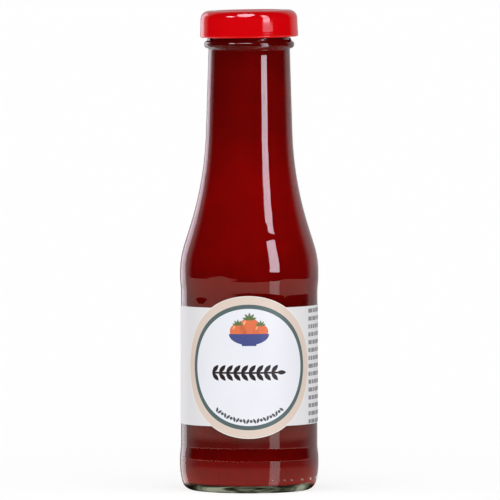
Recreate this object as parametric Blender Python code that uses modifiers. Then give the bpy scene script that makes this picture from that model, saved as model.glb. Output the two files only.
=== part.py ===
"""Ketchup bottle: turned glass bottle, its filling, a twist-off cap and a die-cut wrap label.

Metres, +Z up. The origin is the centre of the base, on the surface the bottle stands on,
and the label's round lobe faces -Y.
"""

from math import acos, asin, ceil, cos, pi, radians, sin, sqrt, tan

import bmesh
import bpy
from mathutils import Vector

MM = 0.001
SIDES = 44
ARC_ERROR = 0.08 * MM  # furthest that a chord may stand off a rounded corner
CLEARANCE = 0.3 * MM  # between pieces that touch on the real bottle

# Glass, outside: radii and heights
BODY_HEIGHT = 200.0 * MM
PANEL_RADIUS = 28.57 * MM
PANEL_BOTTOM = 18.3 * MM
PANEL_TOP = 84.8 * MM
LOWER_BAND_RADIUS = 29.05 * MM
LOWER_BAND_TOP = 14.0 * MM
UPPER_BAND_RADIUS = 28.96 * MM
UPPER_BAND_BOTTOM = 89.6 * MM
SHOULDER_BOTTOM = 97.0 * MM
SHOULDER_TOP = 130.2 * MM
NECK_FOOT_RADIUS = 18.7 * MM
NECK_TOP_RADIUS = 17.0 * MM
NECK_TOP = 184.75 * MM
NECK_SWEEP = 146.0 * MM
SHOULDER_SWEEP = 37.5 * MM
BAND_SWEEP = 12.0 * MM

# Glass, heel and base
HEEL_TOP = 8.5 * MM
HEEL_FOOT_RADIUS = 27.4 * MM
HEEL_ROUNDING = 4.8 * MM
BEARING_INNER_RADIUS = 21.6 * MM
BEARING_ROUNDING = 1.5 * MM
PUSH_UP = 2.4 * MM
PUSH_UP_EDGE_RADIUS = 18.6 * MM
PUSH_UP_EDGE_HEIGHT = 1.2 * MM
PUSH_UP_SWEEP = 8.0 * MM

# Glass, finish: transfer bead, mouth and thread lugs
BEAD_RADIUS = 18.85 * MM
BEAD_BOTTOM = 185.0 * MM
BEAD_TOP = 188.1 * MM
BEAD_ROUNDING = 1.5 * MM
BEAD_ROOT_ROUNDING = 0.6 * MM
FINISH_RADIUS = 16.8 * MM
MOUTH_RADIUS = 14.6 * MM
MOUTH_SWEEP = 20.0 * MM
RIM_ROUNDING = 0.8 * MM
LUGS = 4
LUG_THICKNESS = 1.9 * MM
LUG_RUN_OUT = 1.2 * MM  # how far the lug's ends sink into the wall
LUG_POINTS = 9
LUG_SWEEP = radians(70)
LUG_END_TURN = radians(-68)
LUG_END_HEIGHT = 189.0 * MM
LUG_RISE = 3.2 * MM

# Glass, inside
WALL = 2.4 * MM
WALL_DROP = 0.8 * MM  # the inner shoulder lies this much lower than the outer one
FLOOR_HEIGHT = 5.2 * MM
FLOOR_EDGE_HEIGHT = 3.4 * MM
FLOOR_KNEE_RADIUS = 14.4 * MM
FLOOR_KNEE_HEIGHT = 4.2 * MM
FLOOR_SWEEP = 30.0 * MM
INNER_HEEL_ROUNDING = 6.0 * MM

# Filling
FILL_LEVEL = 193.0 * MM
FILL_EDGE_ROUNDING = 0.8 * MM

# Cap
CAP_RADIUS = 20.4 * MM
CAP_DRAFT = 0.25 * MM  # the skirt is this much narrower at its top
CAP_TOP = 200.75 * MM
CAP_BOTTOM = 189.5 * MM
CAP_WALL = 0.5 * MM
CAP_CORNER = 3.3 * MM
CAP_PANEL_RADIUS = 13.0 * MM
CAP_PANEL_STEP = 1.2 * MM
CAP_PANEL_DEPTH = 0.4 * MM
CAP_PANEL_ROUNDING = 1.5 * MM
CURL_OUTER_RADIUS = 20.5 * MM
CURL_INNER_RADIUS = 18.95 * MM
CURL_HEIGHT = 2.3 * MM
CURL_ROUNDING = 0.75 * MM
CURL_FLARE = 0.6 * MM  # height over which the skirt runs out to the curl
CURL_FLARE_ROUNDING = 0.5 * MM
CAP_TILT = radians(-0.9)

# Label
LABEL_THICKNESS = 0.2 * MM
LABEL_CENTRE = 52.85 * MM
LABEL_HALF_BAND = 24.75 * MM
LOBE_RADIUS = 29.7 * MM
LOBE_COLUMNS = 16
WRAP_COLUMNS = 18
SEAM_GAP = 2.0 * MM
LABEL_SLOPE = tan(radians(0.65))


def rounded_outline(corners):
    """The points of a path through corners (radius, height, rounding), an arc at each rounded one."""
    points = [Vector(corners[0][:2])]
    for before, here, after in zip(corners, corners[1:], corners[2:]):
        corner, rounding = Vector(here[:2]), here[2]
        back = (Vector(before[:2]) - corner).normalized()
        ahead = (Vector(after[:2]) - corner).normalized()
        turn = pi - acos(max(-1.0, min(1.0, back.dot(ahead))))
        if rounding <= 0 or turn < radians(0.5):
            points.append(corner)
            continue
        middle = corner + (back + ahead).normalized() * (rounding / cos(turn / 2))
        start = corner + back * (rounding * tan(turn / 2)) - middle
        end = corner + ahead * (rounding * tan(turn / 2)) - middle
        steps = max(2, ceil(turn / (2 * acos(1 - ARC_ERROR / rounding))))
        for step in range(steps + 1):
            share = step / steps
            blend = start * sin((1 - share) * turn) + end * sin(share * turn)
            points.append(middle + blend / sin(turn))
    points.append(Vector(corners[-1][:2]))
    return points


def surface(name, colour, roughness, metallic=0.0, clear=0.0):
    material = bpy.data.materials.new(name)
    material.use_nodes = True
    shader = material.node_tree.nodes["Principled BSDF"]
    shader.inputs["Base Color"].default_value = (*colour, 1)
    shader.inputs["Roughness"].default_value = roughness
    shader.inputs["Metallic"].default_value = metallic
    shader.inputs["Transmission Weight"].default_value = clear
    return material


def add_object(name, mesh, collection, material=None):
    obj = bpy.data.objects.new(name, mesh)
    collection.objects.link(obj)
    if material:
        obj.data.materials.append(material)
    return obj


def smooth(obj):
    obj.data.shade_smooth()
    obj.data.set_sharp_from_angle(angle=radians(35))


def turned(name, corners, collection, material):
    """A profile turned about Z; it starts and ends on the axis and runs down the outer side."""
    points = rounded_outline(corners)
    mesh = bpy.data.meshes.new(name)
    edges = [(i, i + 1) for i in range(len(points) - 1)]
    mesh.from_pydata([(p.x, 0.0, p.y) for p in points], edges, [])
    obj = add_object(name, mesh, collection, material)
    screw = obj.modifiers.new("Turn", "SCREW")
    screw.axis = "Z"
    screw.steps = SIDES
    screw.render_steps = SIDES
    screw.use_merge_vertices = True
    screw.merge_threshold = 0.00001
    screw.use_smooth_shade = True
    return obj


def inner_wall(inset):
    """Corners of the space inside the glass, made smaller by inset: floor centre up to the neck."""
    body = PANEL_RADIUS - WALL - inset
    neck_foot = NECK_FOOT_RADIUS - WALL - inset
    return [
        (0.0, FLOOR_HEIGHT + inset, 0),
        (FLOOR_KNEE_RADIUS, FLOOR_KNEE_HEIGHT + inset, FLOOR_SWEEP),
        (body, FLOOR_EDGE_HEIGHT + inset, INNER_HEEL_ROUNDING),
        (body, SHOULDER_BOTTOM - WALL_DROP, SHOULDER_SWEEP),
        (neck_foot, SHOULDER_TOP - WALL_DROP, NECK_SWEEP),
    ]


def make_bottle(collection):
    outside = [
        (MOUTH_RADIUS, NECK_TOP, MOUTH_SWEEP),
        (MOUTH_RADIUS, BODY_HEIGHT, RIM_ROUNDING),
        (FINISH_RADIUS, BODY_HEIGHT, RIM_ROUNDING),
        (FINISH_RADIUS, BEAD_TOP, BEAD_ROOT_ROUNDING),
        (BEAD_RADIUS, BEAD_TOP, BEAD_ROUNDING),
        (BEAD_RADIUS, BEAD_BOTTOM, BEAD_ROUNDING),
        (NECK_TOP_RADIUS, NECK_TOP, BEAD_ROOT_ROUNDING),
        (NECK_FOOT_RADIUS, SHOULDER_TOP, NECK_SWEEP),
        (UPPER_BAND_RADIUS, SHOULDER_BOTTOM, SHOULDER_SWEEP),
        (UPPER_BAND_RADIUS, UPPER_BAND_BOTTOM, BAND_SWEEP),
        (PANEL_RADIUS, PANEL_TOP, BAND_SWEEP),
        (PANEL_RADIUS, PANEL_BOTTOM, BAND_SWEEP),
        (LOWER_BAND_RADIUS, LOWER_BAND_TOP, BAND_SWEEP),
        (LOWER_BAND_RADIUS, HEEL_TOP, BAND_SWEEP),
        (HEEL_FOOT_RADIUS, 0.0, HEEL_ROUNDING),
        (BEARING_INNER_RADIUS, 0.0, BEARING_ROUNDING),
        (PUSH_UP_EDGE_RADIUS, PUSH_UP_EDGE_HEIGHT, PUSH_UP_SWEEP),
        (0.0, PUSH_UP, 0),
    ]
    glass = surface("Flint glass", (0.93, 0.97, 0.95), 0.03, clear=1.0)
    return turned("bottle", inner_wall(0.0) + outside, collection, glass)


def make_lugs(bottle, cutters):
    """Short sloping threads round the mouth, joined to the glass."""
    curve = bpy.data.curves.new("lugs", "CURVE")
    curve.dimensions = "3D"
    curve.bevel_depth = LUG_THICKNESS / 2
    curve.bevel_resolution = 1
    curve.use_fill_caps = True
    for lug in range(LUGS):
        spline = curve.splines.new("POLY")
        spline.points.add(LUG_POINTS - 1)
        for i, point in enumerate(spline.points):
            share = i / (LUG_POINTS - 1)
            turn = LUG_END_TURN + lug * 2 * pi / LUGS + share * LUG_SWEEP
            radius = FINISH_RADIUS - LUG_RUN_OUT * (2 * share - 1) ** 6
            height = LUG_END_HEIGHT + share * LUG_RISE
            point.co = (radius * cos(turn), radius * sin(turn), height, 1)
    guide = add_object("lugs", curve, cutters)
    bpy.context.view_layer.update()
    graph = bpy.context.evaluated_depsgraph_get()
    mesh = bpy.data.meshes.new_from_object(guide.evaluated_get(graph))
    bpy.data.objects.remove(guide)
    shape = bmesh.new()
    shape.from_mesh(mesh)
    bmesh.ops.remove_doubles(shape, verts=shape.verts, dist=0.00001)
    bmesh.ops.recalc_face_normals(shape, faces=shape.faces)
    shape.to_mesh(mesh)
    shape.free()
    lugs = add_object("lugs", mesh, cutters)
    lugs.hide_render = True
    lugs.display_type = "WIRE"
    join = bottle.modifiers.new("Thread lugs", "BOOLEAN")
    join.operation = "UNION"
    join.solver = "EXACT"
    join.object = lugs


def make_ketchup(collection):
    """Fills the glass up to a level hidden by the cap."""
    neck_radius = MOUTH_RADIUS - CLEARANCE
    corners = [
        (0.0, FILL_LEVEL, 0),
        (neck_radius, FILL_LEVEL, FILL_EDGE_ROUNDING),
        (neck_radius, NECK_TOP, MOUTH_SWEEP),
    ]
    corners += list(reversed(inner_wall(CLEARANCE)))
    filling = surface("Ketchup", (0.19, 0.004, 0.003), 0.35)
    return turned("ketchup", corners, collection, filling)


def make_cap(collection):
    """Pressed shell with a rounded shoulder, a shallow top panel and a curled lower edge."""
    inner_radius = CAP_RADIUS - CAP_WALL
    under = CAP_TOP - CAP_WALL
    curl_top = CAP_BOTTOM + CURL_HEIGHT
    corners = [
        (0.0, CAP_TOP - CAP_PANEL_DEPTH, 0),
        (CAP_PANEL_RADIUS, CAP_TOP - CAP_PANEL_DEPTH, CAP_PANEL_ROUNDING),
        (CAP_PANEL_RADIUS + CAP_PANEL_STEP, CAP_TOP, CAP_PANEL_ROUNDING),
        (CAP_RADIUS - CAP_DRAFT, CAP_TOP, CAP_CORNER),
        (CAP_RADIUS, curl_top + CURL_FLARE / 2, CURL_FLARE_ROUNDING),
        (CURL_OUTER_RADIUS, curl_top - CURL_FLARE / 2, CURL_FLARE_ROUNDING),
        (CURL_OUTER_RADIUS, CAP_BOTTOM, CURL_ROUNDING),
        (CURL_INNER_RADIUS, CAP_BOTTOM, CURL_ROUNDING),
        (CURL_INNER_RADIUS, curl_top, CURL_ROUNDING),
        (inner_radius, curl_top, 0),
        (inner_radius - CAP_DRAFT, under, CAP_CORNER - CAP_WALL),
        (CAP_PANEL_RADIUS + CAP_PANEL_STEP, under, 0),
        (CAP_PANEL_RADIUS, under - CAP_PANEL_DEPTH, 0),
        (0.0, under - CAP_PANEL_DEPTH, 0),
    ]
    lacquer = surface("Red lacquered tinplate", (0.66, 0.003, 0.006), 0.18, 0.15)
    cap = turned("cap", corners, collection, lacquer)
    # The cap sits a hair askew about its own lower edge
    middle = Vector((0, 0, CAP_BOTTOM))
    cap.rotation_euler.y = CAP_TILT
    bpy.context.view_layer.update()
    cap.location = middle - cap.rotation_euler.to_matrix() @ middle
    return cap


def label_columns(radius):
    """Arc lengths of the label's columns, from one end at the back seam round to the other."""
    joint = sqrt(LOBE_RADIUS**2 - LABEL_HALF_BAND**2)
    end = pi * radius - SEAM_GAP / 2
    lobe = asin(joint / LOBE_RADIUS)
    columns = [-end + (end - joint) * i / WRAP_COLUMNS for i in range(WRAP_COLUMNS)]
    for i in range(LOBE_COLUMNS + 1):
        columns.append(LOBE_RADIUS * sin(lobe * (2 * i / LOBE_COLUMNS - 1)))
    columns += [joint + (end - joint) * (i + 1) / WRAP_COLUMNS for i in range(WRAP_COLUMNS)]
    return columns


def make_label(collection):
    """One band round the panel with a round lobe in front, as a thin shell."""
    radius = PANEL_RADIUS + CLEARANCE
    columns = label_columns(radius)
    shape = bmesh.new()
    bmesh.ops.create_grid(shape, x_segments=len(columns) - 1, y_segments=1, size=1)
    for vert in shape.verts:
        arc = columns[round((vert.co.x + 1) / 2 * (len(columns) - 1))]
        reach = LABEL_HALF_BAND
        if abs(arc) < LOBE_RADIUS:
            reach = max(reach, sqrt(LOBE_RADIUS**2 - arc**2))
        turn = arc / radius - pi / 2
        x, y = radius * cos(turn), radius * sin(turn)
        height = LABEL_CENTRE + (reach if vert.co.y > 0 else -reach)
        vert.co = (x, y, height + x * LABEL_SLOPE)
    bmesh.ops.recalc_face_normals(shape, faces=shape.faces)
    mesh = bpy.data.meshes.new("label")
    shape.to_mesh(mesh)
    shape.free()
    paper = surface("Label paper", (0.78, 0.78, 0.76), 0.5)
    label = add_object("label", mesh, collection, paper)
    outward = mesh.polygons[0].normal.dot(mesh.polygons[0].center) > 0
    shell = label.modifiers.new("Paper", "SOLIDIFY")
    shell.thickness = LABEL_THICKNESS
    shell.offset = 1.0 if outward else -1.0
    return label


def main():
    for obj in list(bpy.data.objects):
        bpy.data.objects.remove(obj)
    parts = bpy.data.collections.new("ketchup_bottle")
    cutters = bpy.data.collections.new("cutters")
    bpy.context.scene.collection.children.link(parts)
    bpy.context.scene.collection.children.link(cutters)
    bottle = make_bottle(parts)
    make_lugs(bottle, cutters)
    make_ketchup(parts)
    make_cap(parts)
    label = make_label(parts)
    smooth(label)


main()
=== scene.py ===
"""A shut ketchup bottle: flint glass, its filling, a lacquered twist-off cap and a wrap label."""

from math import acos, ceil, cos, pi, radians, sin, sqrt, tan
from random import Random

import bpy
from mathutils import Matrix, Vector


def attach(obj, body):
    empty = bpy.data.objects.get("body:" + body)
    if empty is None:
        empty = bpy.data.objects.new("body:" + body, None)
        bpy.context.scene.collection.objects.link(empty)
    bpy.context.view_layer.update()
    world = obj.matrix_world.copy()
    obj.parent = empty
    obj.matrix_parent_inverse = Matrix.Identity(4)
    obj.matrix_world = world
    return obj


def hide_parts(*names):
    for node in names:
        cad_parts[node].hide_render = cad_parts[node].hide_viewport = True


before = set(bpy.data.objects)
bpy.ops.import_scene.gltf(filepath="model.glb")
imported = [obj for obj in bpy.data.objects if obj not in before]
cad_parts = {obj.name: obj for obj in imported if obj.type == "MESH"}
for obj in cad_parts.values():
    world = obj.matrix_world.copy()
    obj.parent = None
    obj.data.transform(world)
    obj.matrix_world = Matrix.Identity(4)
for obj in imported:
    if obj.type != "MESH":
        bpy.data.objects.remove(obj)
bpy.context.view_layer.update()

MM = 0.001
TURN_STEPS = 176
ARC_ERROR = 0.004 * MM  # furthest that a chord may stand off a rounded corner
LONGEST_STEP = 1.6 * MM  # along a straight run, so that smooth shading stays true
FAINT_TURN = radians(0.5)  # a corner fainter than this gets no arc
LEAST_ARC_STEPS = 4
MERGE_DISTANCE = 0.001 * MM
SHARP_ANGLE = radians(35)

# Glass, outside: radii and heights
BODY_HEIGHT = 200.0 * MM
PANEL_RADIUS = 28.57 * MM
PANEL_BOTTOM = 18.3 * MM
PANEL_TOP = 84.0 * MM
LOWER_BAND_RADIUS = 29.05 * MM
LOWER_BAND_TOP = 14.0 * MM
UPPER_BAND_RADIUS = 28.96 * MM
UPPER_BAND_BOTTOM = 88.0 * MM
SHOULDER_BOTTOM = 97.0 * MM
SHOULDER_TOP = 130.2 * MM
NECK_FOOT_RADIUS = 18.7 * MM
NECK_TOP_RADIUS = 17.0 * MM
NECK_TOP = 184.75 * MM
NECK_SWEEP = 146.0 * MM
SHOULDER_SWEEP = 37.5 * MM
UPPER_BAND_SWEEP = 30.0 * MM
LOWER_BAND_SWEEP = 14.0 * MM
SHOULDER_RIPPLE = 0.03 * MM  # a hair of swell in the middle of the shoulder
SHOULDER_RIPPLE_LOW = 105.7 * MM
SHOULDER_RIPPLE_HIGH = 108.0 * MM

# Glass, heel and base
HEEL_TOP = 8.5 * MM
HEEL_SWEEP = 30.0 * MM
HEEL_FOOT_RADIUS = 27.4 * MM
HEEL_ROUNDING = 4.8 * MM
BEARING_INNER_RADIUS = 21.6 * MM
BEARING_ROUNDING = 1.5 * MM
PUSH_UP = 2.4 * MM
PUSH_UP_EDGE_RADIUS = 18.6 * MM
PUSH_UP_EDGE_HEIGHT = 1.2 * MM
PUSH_UP_SWEEP = 8.0 * MM

# Glass, finish: transfer bead, mouth and thread lugs
BEAD_RADIUS = 18.85 * MM
BEAD_BOTTOM = 185.0 * MM
BEAD_TOP = 188.1 * MM
BEAD_ROUNDING = 1.5 * MM
BEAD_ROOT_ROUNDING = 0.6 * MM
FINISH_RADIUS = 16.8 * MM
MOUTH_RADIUS = 14.6 * MM
MOUTH_SWEEP = 20.0 * MM
RIM_ROUNDING = 0.8 * MM
LUGS = 4
LUG_THICKNESS = 1.9 * MM
LUG_SWEEP = radians(70)
LUG_END_TURN = radians(-68)
LUG_END_HEIGHT = 189.0 * MM
LUG_RISE = 3.2 * MM

# Glass, inside
WALL = 2.4 * MM
WALL_DROP = 0.8 * MM
FLOOR_HEIGHT = 5.2 * MM
FLOOR_EDGE_HEIGHT = 3.4 * MM
FLOOR_KNEE_RADIUS = 14.4 * MM
FLOOR_KNEE_HEIGHT = 4.2 * MM
FLOOR_SWEEP = 30.0 * MM
INNER_HEEL_ROUNDING = 6.0 * MM

# Glass, marks of the mould
MOULD_DOT_RADIUS = 0.4 * MM
MOULD_DOT_REACH = LOWER_BAND_RADIUS * 0.995
MOULD_DOT_HEIGHT = 5.4 * MM
MOULD_DOT_TURNS = (20.0, 25.5, 30.8, 38.3, 50.5, 63.5, 77.0)
WAVE_DEPTH = 0.02 * MM
WAVE_LENGTH = 22.0 * MM

# Filling
WETTING = 0.05 * MM  # how far the filling reaches into the wall
FILL_LEVEL = 193.0 * MM
FILL_EDGE_ROUNDING = 0.8 * MM
KETCHUP_MOTTLE = 9.0 * MM
KETCHUP_UNEVENNESS = 0.08
KETCHUP_GREEN = 0.0012
KETCHUP_BLUE = 0.0008
# Painted shade and light on the ketchup's red, from the base to the mouth, as shares of the body's
# height: darker by the label and up the neck, lighter on the shoulder and at the foot
KETCHUP_PAINTED_LIGHT_AND_SHADE = (
    (0.02, 0.31),
    (0.035, 0.22),
    (0.06, 0.18),
    (0.075, 0.122),
    (0.4, 0.128),
    (0.45, 0.172),
    (0.48, 0.185),
    (0.66, 0.215),
    (0.76, 0.158),
    (0.92, 0.127),
)

# The part of the filling seen through the thick base, which gets the base's painted reflection and
# painted shade: its reach in front and at each side
UNDERSIDE_FRONT = 20.8 * MM
UNDERSIDE_SIDE = 23.0 * MM
UNDERSIDE_TOP = FLOOR_HEIGHT + MM
UNDERSIDE_EDGE = 0.985  # share of that reach at which it starts to fade out
UNDERSIDE_STREAKS = (2.2, 15.0, 1.0)  # long round the base, thin across it
UNDERSIDE_SIDE_LIGHT = 0.19  # how much lighter it is at the sides than in front
UNDERSIDE_SIDE_TURNS = (0.5, 1.0)  # radians from the front between which it grows lighter
UNDERSIDE_RIM = (0.93, 0.99)  # shares of the reach between which it darkens
UNDERSIDE_RIM_SHADE = 0.3
# Colours of the painted reflection, from its darkest to its palest streaks
UNDERSIDE_PAINTED_TONES = (
    (0.36, "#2B2822"),
    (0.46, "#55544A"),
    (0.55, "#83867A"),
    (0.68, "#E4E6DA"),
)

# Cap
CAP_RADIUS = 20.4 * MM
CAP_DRAFT = 0.25 * MM
CAP_TOP = 200.75 * MM
CAP_BOTTOM = 189.5 * MM
CAP_WALL = 0.5 * MM
CAP_CORNER = 3.6 * MM
CAP_PANEL_RADIUS = 13.0 * MM
CAP_PANEL_STEP = 1.2 * MM
CAP_PANEL_DEPTH = 0.4 * MM
CAP_PANEL_ROUNDING = 1.5 * MM
CURL_OUTER_RADIUS = 20.5 * MM
CURL_INNER_RADIUS = 18.95 * MM
CURL_HEIGHT = 2.3 * MM
CURL_ROUNDING = 0.75 * MM
CURL_FLARE = 0.6 * MM
CURL_FLARE_ROUNDING = 0.5 * MM
CAP_TILT = radians(-0.9)
CAP_LUG_TURN = radians(45)
CAP_LUG_HALF_WIDTH = radians(7)
CAP_LUG_PRESS = 0.986  # share of the curl's reach that is left in the middle of a lug

# Label
LABEL_CENTRE = 52.85 * MM
LABEL_HALF_BAND = 24.75 * MM
LOBE_RADIUS = 29.7 * MM
LABEL_TURN = radians(0.3)
LABEL_NARROWING = 0.988  # the round lobe is a little narrower than it is high
LABEL_ASIDE = -0.2 * MM
SEAM_GAP = 2.0 * MM
PAPER_THICKNESS = 0.1 * MM
PAPER_STANDOFF = 0.06 * MM
INK_THICKNESS = 0.02 * MM
COLUMN_WIDTH = 1.2 * MM
LABEL_MARGIN = 0.3 * MM
TAN_RING = 3.25 * MM
TEAL_RING = 1.75 * MM
LABEL_RINGS = (LABEL_MARGIN, TAN_RING, TEAL_RING)  # from the rim inwards
INK_LIFT = 0.1  # gap under the first film of ink, in films
INK_PITCH = 1.2  # from one film to the next, in films
PAPER_MOTTLE = 11.1 * MM
PAPER_UNEVENNESS = 0.03
PAPER_FIBRE = 0.4 * MM  # coarser than real fibres, so that it shows
FIBRE_RELIEF = 0.02 * MM

# Print, from the middle of the round lobe; along the paper and up
BOWL_WIDTH = 16.8 * MM
BOWL_DEPTH = 4.6 * MM
BOWL_RIM = 13.9 * MM
BOWL_FOOT_WIDTH = 0.36 * BOWL_WIDTH
BOWL_FOOT_HEIGHT = 0.2 * BOWL_DEPTH
BOWL_FOOT_DROP = 0.98 * BOWL_DEPTH
TOMATOES = (
    (-4.6 * MM, 15.0 * MM, 6.4 * MM),
    (4.8 * MM, 14.9 * MM, 6.0 * MM),
    (0.2 * MM, 16.6 * MM, 8.0 * MM),
)
# Parts of a tomato, as shares of its height
TOMATO_WIDTH = 1.08
SHINE_SIZE = (0.3, 0.12)
SHINE_LEFT = 0.34
SHINE_RAISED = 0.12
SHINE_TURN = radians(60)
CALYX_LEAF = (0.38, 0.13)
CALYX_RAISED = 0.4
CALYX_TURNS = (15, 52, 90, 128, 165)
SPRIG_LENGTH = 28.6 * MM
SPRIG_MIDDLE = -1.8 * MM
SPRIG_STEM = 0.8 * MM
SPRIG_HEIGHT = -2.3 * MM
SPRIG_LEAF = 4.4 * MM
SPRIG_LEAF_WIDTH = 0.42 * SPRIG_LEAF
SPRIG_LEAF_TURN = radians(48)
SPRIG_PAIRS = 9
ARC_RADIUS = 22.5 * MM
ARC_REACH = radians(38.0)
ARC_MARKS = 22
ARC_SEED = 2.3 * MM
ARC_SEED_WIDTH = 0.45 * ARC_SEED
ARC_SEED_LEANS = (radians(115), radians(65))
ARC_DOT = 0.55 * ARC_SEED
ROWS_TOP = 76.4 * MM - LABEL_CENTRE
ROW_PITCH = 3.3 * MM
ROW_LINES = 15
DASH_HEIGHT = 1.7 * MM
DASH_CELL = 0.6 * MM
RIGHT_ROWS = (29.6 * MM, 86.0 * MM)
LEFT_ROWS = (-86.0 * MM, -43.0 * MM)
FIRST_DASH = (2, 7)  # least and most cells
NEXT_DASH = (3, 8)  # the same, with the bare cell before it
LINE_SHARE = (0.7, 1.0)  # how much of a line is printed

# View, light and surroundings
CAMERA_DISTANCE = 4.0
CAMERA_HEIGHT = 0.2937
CAMERA_ASIDE = 0.33 * MM
AIM_HEIGHT = 0.10036
SENSOR = 36.0
LENS = 689.1
CLIP_END = 100.0
FLOOR_SIZE = 60.0
FLOOR_GREY = 0.45
FLOOR_GLOW = 0.74
LAMP_COLOUR = "#FDF1FF"
WINDOW_TURN = 41  # degrees round the bottle from the camera's side, as at every lamp and card
WINDOW_DISTANCE = 0.29
WINDOW_WIDTH = 0.081
WINDOW_RADIANCE = 10.0
WINDOW_PARTS = (("Window", 0.17675, 0.1705), ("Window top", 0.42, 0.27))  # middle and height
CARD_DISTANCE = 0.1
CARD_WIDTH = 0.04
# Cards before the window: middle, height and glow
WINDOW_CARDS = (("cap_card", 0.19495, 0.0089, 2.6), ("curl_card", 0.18765, 0.0057, 0.0))
UNLIT = {"Base Color": (0, 0, 0, 1), "Specular IOR Level": 0.0}
# Bright lanes on the table: degrees round the glass where each shows, half its spread in turns, glow
WINDOW_LANE = (21.8, 0.0225, 1.8)
RIM_LANE = (-72.5, 0.033, 1.3)
LANE_EDGE = 0.004  # share of a turn over which a lane fades out
# The table's own glow by its distance from the bottle, in metres: dim in the bottle's shade
TABLE_FADE = (
    (0.036, 0.75),
    (0.09, 0.6),
    (0.16, 0.2),
    (0.33, 0.22),
    (0.37, 1.0),
)
TABLE_TINT = (1.45, 0.62, 0.5)
TABLE_BEHIND = (0.52, 0.48, 0.48)
TABLE_BEHIND_FROM = 0.6  # how far behind, from 0 at the side to 1 straight behind
CONTACT_SHADE = (0.029, 0.036)  # the table's glow starts and is full at these distances
# Edges of the mirrored table, which reaches further forward at the left
TABLE_FRONT = -0.69
TABLE_LEFT = -0.45
TABLE_END = -1.5
TABLE_CORNER = -1.35
TABLE_RIGHT = 1.3
TABLE_FAR = 6.0
# The room's light by direction, from -1 in front of the bottle to 1 behind it
FRONT_LIGHT = 1.25
FRONT_LIGHT_END = 0.81
WHITE_ROOM = 1.05
DARK_ROOM = 0.01
BACKDROP = 0.55
BACKDROP_EDGE = (0.34, 0.66)


def linear(code):
    """An sRGB hex colour as linear red, green, blue and alpha."""
    channels = [int(code[i : i + 2], 16) / 255 for i in (1, 3, 5)]
    return (*[c / 12.92 if c <= 0.04045 else ((c + 0.055) / 1.055) ** 2.4 for c in channels], 1.0)


def add_node(tree, kind, settings=(), inputs=(), links=()):
    """A node with its settings, its sockets' values and its links from other nodes' outputs."""
    node = tree.nodes.new("ShaderNode" + kind)
    for name, value in dict(settings).items():
        setattr(node, name, value)
    for socket, value in dict(inputs).items():
        find_socket(node.inputs, socket).default_value = value
    for socket, source in dict(links).items():
        tree.links.new(source, find_socket(node.inputs, socket))
    return node


def find_socket(sockets, key):
    """A socket by its number, or the one in use by its name."""
    if isinstance(key, int):
        return sockets[key]
    return next(socket for socket in sockets if socket.name == key and socket.enabled)


def paint_ramp(ramp, stops):
    """Grey stops (place, value) or coloured ones (place, (red, green, blue))."""
    while len(ramp.elements) < len(stops):
        ramp.elements.new(1.0)
    for element, (at, value) in zip(ramp.elements, stops):
        colour = value if isinstance(value, tuple) else (value, value, value)
        element.position = at
        element.color = (*colour, 1)


def select_none():
    bpy.ops.object.select_all(action="DESELECT")


def select_only(pieces):
    """Selects these pieces and makes the first of them active."""
    select_none()
    for piece in pieces:
        piece.select_set(True)
    bpy.context.view_layer.objects.active = pieces[0]


def clear_selection(mesh):
    """Deselects every vertex, edge and face, from object mode."""
    for group in (mesh.vertices, mesh.edges, mesh.polygons):
        for item in group:
            item.select = False


def ends_along(piece):
    """The lowest and the highest x of a piece."""
    along = [vert.co.x for vert in piece.data.vertices]
    return min(along), max(along)


def name_piece(name):
    """Names the piece that was made last, and its mesh."""
    piece = bpy.context.object
    piece.name = name
    piece.data.name = name
    return piece


def apply_modifiers(piece):
    select_only([piece])
    for modifier in list(piece.modifiers):
        bpy.ops.object.modifier_apply(modifier=modifier.name)


def join(pieces, name):
    select_only(pieces)
    bpy.ops.object.join()
    return name_piece(name)


def settle(piece):
    """Puts the piece's place into its mesh."""
    select_only([piece])
    bpy.ops.object.transform_apply(location=True, rotation=True, scale=True)


def rounded_outline(corners):
    """The points of a path through corners (radius, height, rounding), an arc at each rounded one."""
    points = [Vector(corners[0][:2])]
    for before, here, after in zip(corners, corners[1:], corners[2:]):
        corner, rounding = Vector(here[:2]), here[2]
        back = (Vector(before[:2]) - corner).normalized()
        ahead = (Vector(after[:2]) - corner).normalized()
        turn = pi - acos(max(-1.0, min(1.0, back.dot(ahead))))
        if rounding <= 0 or turn < FAINT_TURN:
            points.append(corner)
            continue
        middle = corner + (back + ahead).normalized() * (rounding / cos(turn / 2))
        start = corner + back * (rounding * tan(turn / 2)) - middle
        end = corner + ahead * (rounding * tan(turn / 2)) - middle
        steps = max(LEAST_ARC_STEPS, ceil(turn / (2 * acos(1 - ARC_ERROR / rounding))))
        for step in range(steps + 1):
            share = step / steps
            blend = start * sin((1 - share) * turn) + end * sin(share * turn)
            points.append(middle + blend / sin(turn))
    points.append(Vector(corners[-1][:2]))
    return points


def closely_spaced(points):
    """The same path with points added along its long straight runs."""
    close = [points[0]]
    for before, after in zip(points, points[1:]):
        steps = ceil((after - before).length / LONGEST_STEP)
        close += [before.lerp(after, (step + 1) / steps) for step in range(steps)]
    return close


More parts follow.
